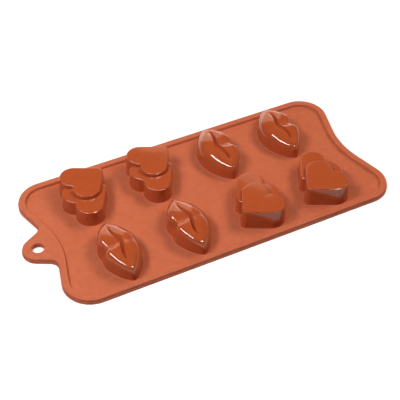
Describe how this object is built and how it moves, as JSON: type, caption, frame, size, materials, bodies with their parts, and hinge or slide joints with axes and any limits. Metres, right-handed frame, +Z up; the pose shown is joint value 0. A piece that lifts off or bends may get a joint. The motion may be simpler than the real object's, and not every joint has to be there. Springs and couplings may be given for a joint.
{
  "type": "chocolate mould",
  "caption": "One-piece silicone mould lying face down, with hollow double-heart and lips cavities, a raised rim, hollowed ends and a hanging tab with a hole.",
  "frame": {"origin": "middle of the sheet on its flat filling face, which lies down", "axes": "+X along the sheet, away from the hanging tab; +Z up, from the filling face to the backs of the cavities"},
  "size_m": [0.225, 0.104, 0.0142],
  "materials": {
    "silicone": "moulded silicone, matte on the sheet and glossy on the backs of the cavities"
  },
  "bodies": {
    "root": {"mould": "silicone"}
  },
  "joints": []
}
